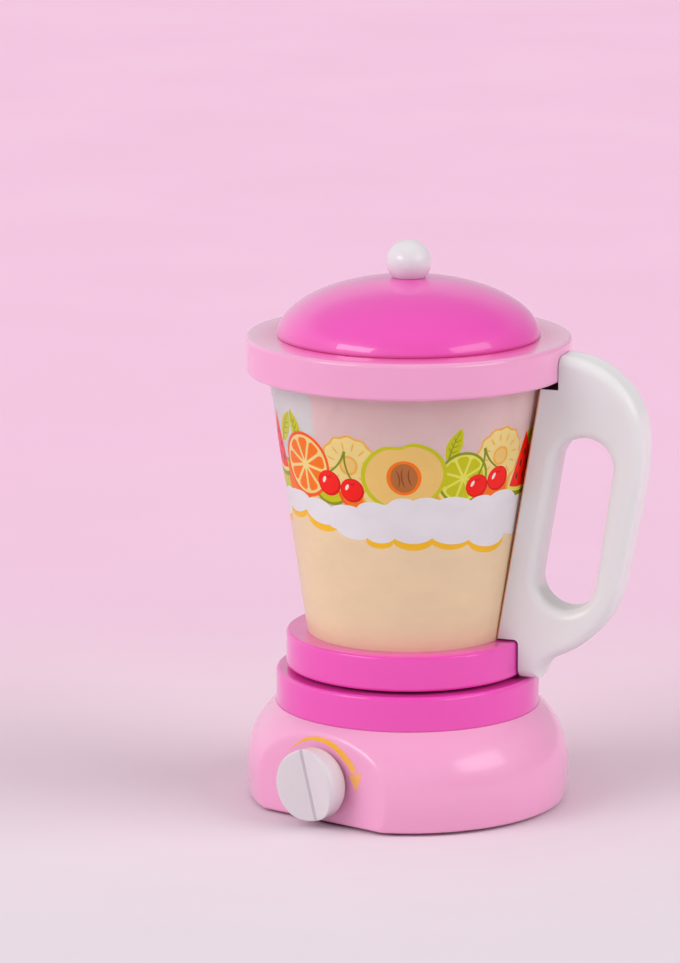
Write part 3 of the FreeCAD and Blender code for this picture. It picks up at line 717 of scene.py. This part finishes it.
INKS = {
    "ink_drink": (241, 216, 175), "ink_cream": (238, 236, 238), "ink_ochre_line": (250, 194, 34),
    "ink_orange": (255, 122, 4), "ink_orange_deep": (255, 92, 2), "ink_straw": (244, 220, 140), "ink_flesh": (244, 204, 116),
    "ink_ochre": (244, 182, 70), "ink_yellow": (252, 212, 44), "ink_lime": (204, 204, 8), "ink_lime_dark": (140, 156, 12),
    "ink_lime_pale": (234, 232, 92), "ink_leaf": (128, 148, 20), "ink_red": (255, 22, 6), "ink_red_deep": (222, 8, 6),
    "ink_pip": (96, 44, 26), "ink_stone": (186, 112, 52), "ink_stone_dark": (138, 76, 34), "ink_spark": (255, 240, 226),
    "ink_tint": (255, 222, 218), "ink_mist": (240, 242, 238), "ink_backing": (244, 236, 236),
}
ink_mats = {}
for name, rgb in INKS.items():
    through = {"ink_backing": 0.6, "ink_tint": 0.0, "ink_mist": 0.0, "ink_drink": 0.12, "ink_cream": 0.15, "ink_ochre_line": 0.12}.get(name, 0.14)
    ink_mats[name] = ink(name, lin(*rgb), 0.38, through)
ink_mats["ink_tint"].node_tree.nodes["Principled BSDF"].inputs["Alpha"].default_value = 0.50
ink_mats["ink_mist"].node_tree.nodes["Principled BSDF"].inputs["Alpha"].default_value = 0.45


SEE_THROUGH = ("ink_tint", "ink_mist")


def wrap(x, z, off):
    a = math.radians(VIEW_AZ) + x / REF
    r = WALL_R0 + (z - WALL_Z0) * WALL_SLOPE + off
    return (r * math.cos(a) * MM, r * math.sin(a) * MM, z * MM)


def film(name, off_out, off_in):
    """The print as a thin closed skin on the wall: inks outside, their pale backing inside."""
    names = list(INKS)
    used, flat, me_v, me_f, me_m = {}, [], [], [], []

    def vert(i):
        x, z = points[i].x, points[i].y
        key = (round((x + TURN) % TURN, 4), round(z, 4))
        if key not in used:
            used[key] = len(me_v)
            flat.append((x, z))
            me_v.append(wrap(x, z, off_out))
            me_v.append(wrap(x, z, off_in))
        return used[key]

    edge_count = {}
    for tri, ink_name in painted:
        idx = [vert(i) for i in tri]
        if len(set(idx)) < 3:
            continue
        me_f.append(idx)
        me_m.append(names.index(ink_name))
        me_f.append([j + 1 for j in idx[::-1]])
        me_m.append(names.index(ink_name if ink_name in SEE_THROUGH else "ink_backing"))
        for j in range(3):
            e = (idx[j], idx[(j + 1) % 3])
            edge_count[e] = edge_count.get(e, 0) + 1
    for (a, b) in list(edge_count):
        if (b, a) not in edge_count:
            me_f.append([b, a, a + 1, b + 1])
            me_m.append(names.index("ink_backing"))
    me = bpy.data.meshes.new(name)
    me.from_pydata(me_v, [], me_f)
    for n in names:
        me.materials.append(ink_mats[n])
    me.polygons.foreach_set("material_index", me_m)
    me.polygons.foreach_set("use_smooth", [len(f) == 3 for f in me_f])
    me.update()
    # every corner takes the wall's own normal, so that the inks lie on it without facets
    tilt = math.atan(WALL_SLOPE)
    normals = []
    for p in me.polygons:
        mid = p.center
        outward = 1.0
        if len(p.vertices) == 4:
            for vi in p.vertices:
                normals.append(tuple(p.normal))
            continue
        if p.normal.x * mid.x + p.normal.y * mid.y < 0:
            outward = -1.0
        for vi in p.vertices:
            co = me.vertices[vi].co
            q = math.hypot(co.x, co.y)
            normals.append((outward * co.x / q * math.cos(tilt), outward * co.y / q * math.cos(tilt), -outward * math.sin(tilt)))
    me.normals_split_custom_set(normals)
    # flat map: the outer side in two tall rows, half a turn each, and the inner side in two short ones
    uv = me.uv_layers.new(name="OFBake")
    for p in me.polygons:
        xs = [flat[vi // 2][0] for vi in p.vertices]
        clear_of_seam = [x for x in xs if abs(x) < TURN / 2 - 1e-3] or xs
        row = 0 if sum(clear_of_seam) < 0 else 1
        outside = len(p.vertices) == 3 and p.vertices[0] % 2 == 0
        v0, tall = (0.005 + 0.365 * row, 0.355) if outside else (0.740 + 0.130 * row, 0.120)
        for li, vi in zip(p.loop_indices, p.vertices):
            x, z = flat[vi // 2]
            if row and x < -TURN / 4:
                x += TURN
            if not row and x > TURN / 4:
                x -= TURN
            u = (x - (0.0 if row else -TURN / 2)) / (TURN / 2)
            uv.data[li].uv = (0.005 + 0.99 * u, v0 + tall * (z - WALL_Z0) / 109.0)
    o = bpy.data.objects.new(name, me)
    scene.collection.objects.link(o)
    return o


jug_print = film("jug_print", 0.11, 0.05)
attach(jug_print, "jug")

# ------------------------------------------------- turn arrow on the flat ---
KNOB_AZ = math.radians(-19.0)
out_dir = Vector((math.sin(KNOB_AZ), -math.cos(KNOB_AZ), 0))
side_dir = Vector((math.cos(KNOB_AZ), math.sin(KNOB_AZ), 0))


ARROW = [(-16.4, 28.1, 0.20), (-14.0, 30.4, 0.5), (-11.2, 32.4, 0.85), (-7.9, 34.2, 1.25), (-4.3, 35.2, 1.6), (0.0, 35.4, 1.95),
         (4.1, 34.6, 2.3), (7.4, 33.3, 2.55), (10.3, 31.4, 2.75), (12.8, 29.4, 2.95), (15.2, 27.0, 3.1), (17.1, 24.4, 3.2)]
ARROW_HEAD = [(14.4, 22.9), (15.1, 21.3), (16.4, 18.9), (17.9, 16.2), (19.1, 18.6), (20.2, 21.7), (20.8, 24.6)]

body = nodes["base_body"]
body_tree = BVHTree.FromPolygons([body.matrix_world @ v.co for v in body.data.vertices], [tuple(p.vertices) for p in body.data.polygons])


def on_base(t, z, off):
    """The point of the housing's surface in front of the flat's (t, z), lifted by off mm."""
    origin = (out_dir * 90.0 + side_dir * t + Vector((0, 0, z))) * MM
    hit, normal, _, _ = body_tree.ray_cast(origin, -out_dir)
    return hit + normal * off * MM


def smooth_line(rows, steps):
    """Catmull-Rom through the rows, all columns alike."""
    out = []
    for i in range(len(rows) - 1):
        q = [rows[max(i - 1, 0)], rows[i], rows[i + 1], rows[min(i + 2, len(rows) - 1)]]
        for j in range(steps):
            t = j / steps
            out.append(tuple(0.5 * (2 * b + (c - a) * t + (2 * a - 5 * b + 4 * c - d) * t * t + (3 * b - a - 3 * c + d) * t ** 3)
                             for a, b, c, d in zip(*q)))
    out.append(tuple(rows[-1]))
    return out


arrow_ink = ink("ink_arrow", lin(246, 182, 52), coat=0.9, worn=(side_dir, -0.0165, -0.009, 0.011, 0.021, lin(243, 172, 160)))
track = smooth_line(ARROW, 5)
LANES = 4
me_v, me_f = [], []


def sheet(rows):
    """A grid of points on the housing as a closed skin 0.05 mm thick."""
    first, n, m = len(me_v), len(rows), len(rows[0])
    for off in (0.07, 0.02):
        for row in rows:
            for t, z in row:
                me_v.append(on_base(t, z, off))

    def at_(layer, i, j):
        return first + layer * n * m + i * m + j
    for i in range(n - 1):
        for j in range(m - 1):
            me_f.append((at_(0, i, j), at_(0, i + 1, j), at_(0, i + 1, j + 1), at_(0, i, j + 1)))
            me_f.append((at_(1, i, j), at_(1, i, j + 1), at_(1, i + 1, j + 1), at_(1, i + 1, j)))
    loop = [(i, 0) for i in range(n)] + [(n - 1, j) for j in range(1, m)] + [(i, m - 1) for i in range(n - 2, -1, -1)] + [(0, j) for j in range(m - 2, 0, -1)]
    for a_, b_ in zip(loop, loop[1:] + loop[:1]):
        me_f.append((at_(0, *a_), at_(1, *a_), at_(1, *b_), at_(0, *b_)))


rows = []
for i, (t, z, w) in enumerate(track):
    t0, z0, _ = track[max(i - 1, 0)]
    t1, z1, _ = track[min(i + 1, len(track) - 1)]
    d = math.hypot(t1 - t0, z1 - z0)
    nx, nz = -(z1 - z0) / d, (t1 - t0) / d
    w *= 1.0 + 0.05 * math.sin(i * 0.9)
    rows.append([(t + nx * w * (0.5 - j / LANES), z + nz * w * (0.5 - j / LANES)) for j in range(LANES + 1)])
sheet(rows)
left_side = smooth_line([(t, z) for t, z in ARROW_HEAD[:4]], 4)
right_side = smooth_line([(t, z) for t, z in ARROW_HEAD[:2:-1]], 4)
rows = []
for (t0, z0), (t1, z1) in zip(left_side[:-1], right_side[:-1]):
    rows.append([(t0 + (t1 - t0) * j / LANES, z0 + (z1 - z0) * j / LANES) for j in range(LANES + 1)])
tip = ARROW_HEAD[3]
rows.append([(tip[0] - 0.12 + 0.06 * j, tip[1] + 0.02) for j in range(LANES + 1)])
sheet(rows)
me = bpy.data.meshes.new("turn_arrow")
me.from_pydata(me_v, [], me_f)
bm = bmesh.new()
bm.from_mesh(me)
bmesh.ops.recalc_face_normals(bm, faces=bm.faces)
bm.to_mesh(me)
bm.free()
me.materials.append(arrow_ink)
arrow = bpy.data.objects.new("turn_arrow", me)
scene.collection.objects.link(arrow)
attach(arrow, "base")

# ------------------------------------------------------------- stage --------
me = bpy.data.meshes.new("floor")
S = 9.0
me.from_pydata([(-S, -S, -0.0002), (S, -S, -0.0002), (S, S, -0.0002), (-S, S, -0.0002)], [], [(0, 1, 2, 3)])
floor = bpy.data.objects.new("floor", me)
scene.collection.objects.link(floor)
k = Mat("studio_floor")
fleck = k.noise(k.mapped(), 6.0, 3.0, 0.5)
far = k.node("ShaderNodeVectorMath", operation="DOT_PRODUCT")
far.inputs[1].default_value = (-math.sin(math.radians(18)), math.cos(math.radians(18)), 0.0)
k.link(k.tc.outputs["Object"], far.inputs[0])
sweep = k.ramp(k.remap(far.outputs["Value"], -0.2, 0.8, 0.0, 1.0),
               [(0.0, lin(226, 216, 224)), (0.20, lin(229, 211, 221)), (0.37, lin(232, 205, 219)), (0.54, lin(236, 197, 219)), (0.95, lin(240, 195, 221))])
k.color(k.mix(k.remap(fleck, 0.3, 0.7, 0.0, 0.06), sweep, lin(250, 244, 248)))
k.put(Roughness=0.75, Specular_IOR_Level=0.2)
me.materials.append(k.m)

world = bpy.data.worlds.new("studio")
scene.world = world
world.use_nodes = True
wn = world.node_tree
bg = wn.nodes["Background"]
tc = wn.nodes.new("ShaderNodeTexCoord")
sep = wn.nodes.new("ShaderNodeSeparateXYZ")
ramp = wn.nodes.new("ShaderNodeValToRGB")
wn.links.new(tc.outputs["Generated"], sep.inputs[0])
wn.links.new(sep.outputs["Z"], ramp.inputs["Fac"])
# brighter on the camera's left, darker on its right
lean = wn.nodes.new("ShaderNodeVectorMath")
lean.operation = "DOT_PRODUCT"
left_az = math.radians(18.0 - 100.0)
lean.inputs[1].default_value = (math.sin(left_az), -math.cos(left_az), 0.0)
wn.links.new(tc.outputs["Generated"], lean.inputs[0])
scale = wn.nodes.new("ShaderNodeMapRange")
for key, value in (("From Min", -0.8), ("From Max", 0.8), ("To Min", 0.42), ("To Max", 1.22)):
    scale.inputs[key].default_value = value
wn.links.new(lean.outputs["Value"], scale.inputs["Value"])
sided = wn.nodes.new("ShaderNodeVectorMath")
sided.operation = "SCALE"
wn.links.new(ramp.outputs["Color"], sided.inputs[0])
wn.links.new(scale.outputs["Result"], sided.inputs["Scale"])
wn.links.new(sided.outputs["Vector"], bg.inputs["Color"])
e = ramp.color_ramp.elements
e[0].position = 0.0
e[0].color = (0.86, 0.80, 0.84, 1)
e[1].position = 1.0
e[1].color = (0.36, 0.35, 0.36, 1)
for pos, col in ((0.50, (0.86, 0.80, 0.84, 1)), (0.66, (0.44, 0.42, 0.44, 1))):
    q = e.new(pos)
    q.color = col
bg.inputs["Strength"].default_value = 0.85


def soft_box(name, az, el, dist, size, power, glossy=True, target=(0, 0, 0.11), colour=(1, 1, 1)):
    """az in degrees round from the camera's own azimuth, positive to its right."""
    a = math.radians(18.0 + az)
    e_ = math.radians(el)
    pos = Vector(target) + Vector((math.sin(a) * math.cos(e_), -math.cos(a) * math.cos(e_), math.sin(e_))) * dist
    light = bpy.data.lights.new(name, "AREA")
    light.shape = "RECTANGLE"
    light.size, light.size_y = size
    light.energy = power
    light.color = colour
    o = bpy.data.objects.new(name, light)
    o.location = pos
    o.rotation_euler = (Vector(target) - pos).to_track_quat("-Z", "Y").to_euler()
    o.visible_camera = False
    o.visible_glossy = glossy
    o.visible_diffuse = False
    scene.collection.objects.link(o)
    return o


def sun(name, az, el, power, angle, colour=(1, 1, 1)):
    """Even soft light from one side; the boxes only make its reflections."""
    a = math.radians(18.0 + az)
    e_ = math.radians(el)
    way = Vector((math.sin(a) * math.cos(e_), -math.cos(a) * math.cos(e_), math.sin(e_)))
    light = bpy.data.lights.new(name, "SUN")
    light.energy = power
    light.angle = math.radians(angle)
    light.color = colour
    o = bpy.data.objects.new(name, light)
    o.location = way * 3.0
    o.rotation_euler = (-way).to_track_quat("-Z", "Y").to_euler()
    o.visible_glossy = False
    scene.collection.objects.link(o)
    return o


soft_box("box_right", 58, 26, 1.8, (1.15, 0.62), 3.7)
soft_box("box_left", -50, 27, 1.8, (1.0, 0.48), 5.2)
sun("light_left", -62, 34, 1.35, 40)
sun("light_right", 74, 32, 1.70, 50)
sun("light_top", 10, 80, 0.45, 60)

# ------------------------------------------------------------- camera -------
AZ = math.radians(18.0)
YAW, PITCH, FOCAL_PX = -0.0137, 0.2138, 5100.0
cam_data = bpy.data.cameras.new("camera")
cam_data.sensor_width = 36.0
cam_data.sensor_fit = "AUTO"
cam_data.lens = FOCAL_PX / 963.0 * 36.0
cam_data.clip_start = 0.05
cam_data.clip_end = 60.0
cam = bpy.data.objects.new("camera", cam_data)
fx, fy, fz = math.sin(YAW) * math.cos(PITCH), math.cos(YAW) * math.cos(PITCH), -math.sin(PITCH)
forward = Vector((fx * math.cos(AZ) - fy * math.sin(AZ), fx * math.sin(AZ) + fy * math.cos(AZ), fz))
cam.location = (2.050 * math.sin(AZ), -2.050 * math.cos(AZ), 0.5778)
cam.rotation_euler = forward.to_track_quat("-Z", "Y").to_euler()
scene.collection.objects.link(cam)
scene.camera = cam

scene.view_settings.view_transform = "Standard"
scene.view_settings.look = "None"
scene.view_settings.exposure = 0.0
scene.view_settings.gamma = 1.0
